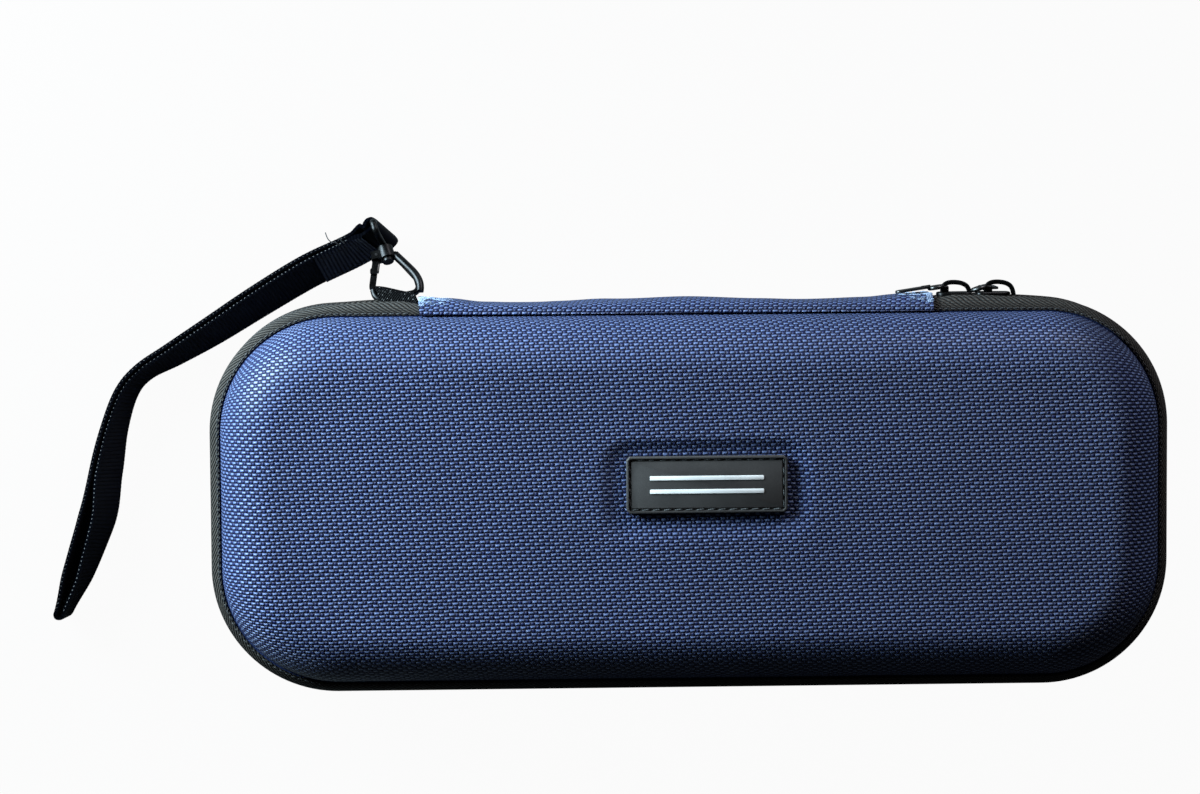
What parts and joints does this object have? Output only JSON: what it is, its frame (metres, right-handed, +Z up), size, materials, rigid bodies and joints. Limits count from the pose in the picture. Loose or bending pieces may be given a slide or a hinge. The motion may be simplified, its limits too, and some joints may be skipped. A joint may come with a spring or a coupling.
{
  "type": "stethoscope hard case",
  "caption": "Zipped hard case for a stethoscope: moulded fabric shells, fabric spine hinge, two zip sliders, label plate, and a swivel clip with a webbing wrist strap.",
  "frame": {"origin": "middle of the base shell's flat underside, on the surface the case lies on", "axes": "+Z up out of the lid, +X along the case's length, +Y towards the fabric spine and the zip sliders"},
  "size_m": [0.3401, 0.1434, 0.0586],
  "materials": {
    "shell_fabric": "navy ballistic weave, slightly glossy",
    "foam": "pressed closed-cell foam",
    "lining": "brushed black lining",
    "zip_tape": "black woven tape",
    "coil": "black nylon coil",
    "thread": "light blue thread",
    "label": "dark grey moulded rubber",
    "label_print": "white moulded rubber",
    "elastic": "black elastic",
    "net": "black stretch net",
    "metal": "black nickel, glossy",
    "webbing": "black ribbed webbing"
  },
  "bodies": {
    "base": {"base_fabric_cover": "shell_fabric", "base_foam_core": "foam", "base_lining": "lining", "base_zip_tape": "zip_tape", "base_zip_coil": "coil", "base_zip_end_stops": "metal", "spine_strip_base_half": "shell_fabric", "spine_web_base_half": "lining", "spine_bar_tacks": "thread", "clip_loop": "zip_tape", "retaining_band_loop_side": "elastic", "retaining_band_hook_side": "elastic"},
    "lid": {"lid_fabric_cover": "shell_fabric", "lid_foam_core": "foam", "lid_lining": "lining", "lid_zip_tape": "zip_tape", "lid_zip_tape_tails": "zip_tape", "lid_zip_coil": "coil", "lid_zip_coil_tails": "coil", "lid_zip_end_stops": "metal", "spine_strip_lid_half": "shell_fabric", "spine_web_lid_half": "lining", "label_plate": "label", "label_bars": "label_print", "mesh_pocket_net": "net", "mesh_pocket_hem": "elastic"},
    "slider_1": {"slider_1_body": "metal"},
    "slider_2": {"slider_2_body": "metal"},
    "pull_1": {"slider_1_pull": "metal"},
    "pull_2": {"slider_2_pull": "metal"},
    "clip": {"hook_frame": "metal", "gate_pin": "metal", "gate_spring": "metal"},
    "gate": {"hook_gate": "metal"},
    "swivel": {"swivel_post": "metal", "strap_ring": "metal"},
    "wrist_strap": {"wrist_webbing": "webbing"}
  },
  "joints": [
    {"name": "lid_hinge", "type": "hinge", "parent": "base", "child": "lid", "pos_m": [0, 0.05825, 0.029], "axis": [-1, 0, 0], "range_deg": [0, 100], "deforming": ["spine_strip_lid_half", "spine_web_lid_half", "lid_zip_tape_tails", "lid_zip_coil_tails", "lid_zip_end_stops"]},
    {"name": "slider_1_travel", "type": "slide", "parent": "base", "child": "slider_1", "axis": [1, 0, 0], "range_m": [0, 0.006]},
    {"name": "slider_2_travel", "type": "slide", "parent": "slider_1", "child": "slider_2", "axis": [1, 0, 0], "range_m": [0, 0.0028]},
    {"name": "pull_1_flip", "type": "hinge", "parent": "slider_1", "child": "pull_1", "pos_m": [0.0796, 0.0607, 0.029], "axis": [0, 0, 1], "range_deg": [-95, 0]},
    {"name": "pull_2_swing", "type": "hinge", "parent": "slider_2", "child": "pull_2", "pos_m": [0.0928, 0.06195, 0.029], "axis": [-1, 0, 0], "range_deg": [-90, 0]},
    {"name": "clip_swing", "type": "hinge", "parent": "base", "child": "clip", "pos_m": [-0.088, 0.0604, 0.0224], "axis": [-1, 0, 0], "range_deg": [-40, 0]},
    {"name": "gate_press", "type": "hinge", "parent": "clip", "child": "gate", "pos_m": [-0.09489, 0.07195, 0.01421], "axis": [0, 0.5785, 0.8157], "range_deg": [0, 11], "stiffness_Nm_per_rad": 0.005, "springref_deg": -11.46, "deforming": ["gate_spring"]},
    {"name": "swivel_turn", "type": "hinge", "parent": "clip", "child": "swivel", "pos_m": [-0.09183, 0.07307, 0.01341], "axis": [0.2391, -0.792, 0.5617], "range_deg": [-40, 0]},
    {"name": "strap_pivot", "type": "hinge", "parent": "swivel", "child": "wrist_strap", "pos_m": [-0.09362, 0.07901, 0.0092], "axis": [0.2484, -0.5093, -0.8239], "range_deg": [-12, 0]}
  ]
}
